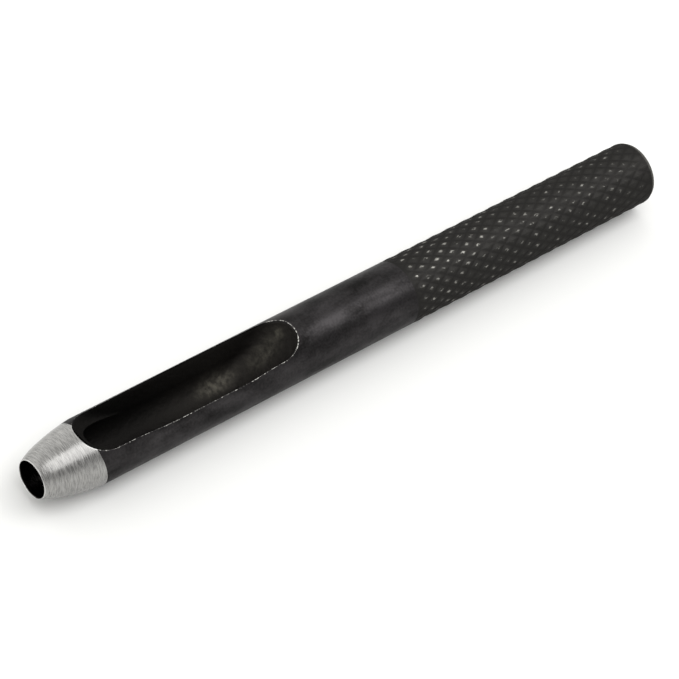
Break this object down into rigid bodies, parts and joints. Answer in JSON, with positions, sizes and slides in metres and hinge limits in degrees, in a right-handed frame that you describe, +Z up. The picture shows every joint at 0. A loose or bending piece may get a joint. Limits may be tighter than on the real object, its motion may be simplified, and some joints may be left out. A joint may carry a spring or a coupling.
{
  "type": "drive hole punch",
  "caption": "Round steel drive punch that cuts a clean hole in leather, with a bevelled tubular cutting nose, an open slug window and a diamond-knurled grip.",
  "frame": {"origin": "middle of the punch's length, on the surface that it lies on, directly under its axis", "axes": "+X along the bar from the cutting mouth to the striking end, +Z up out of the slug window, +Y to the left of the window seen from the mouth looking towards the striking end"},
  "size_m": [0.127, 0.011, 0.0111],
  "materials": {
    "ground_steel": "fine circumferential grinding, bright",
    "blackened_steel": "black oxide with a thin film of oil, satin"
  },
  "bodies": {
    "root": {"cutting_nose": "ground_steel", "window_section": "blackened_steel", "plain_shank": "blackened_steel", "knurled_grip": "blackened_steel"}
  },
  "joints": []
}
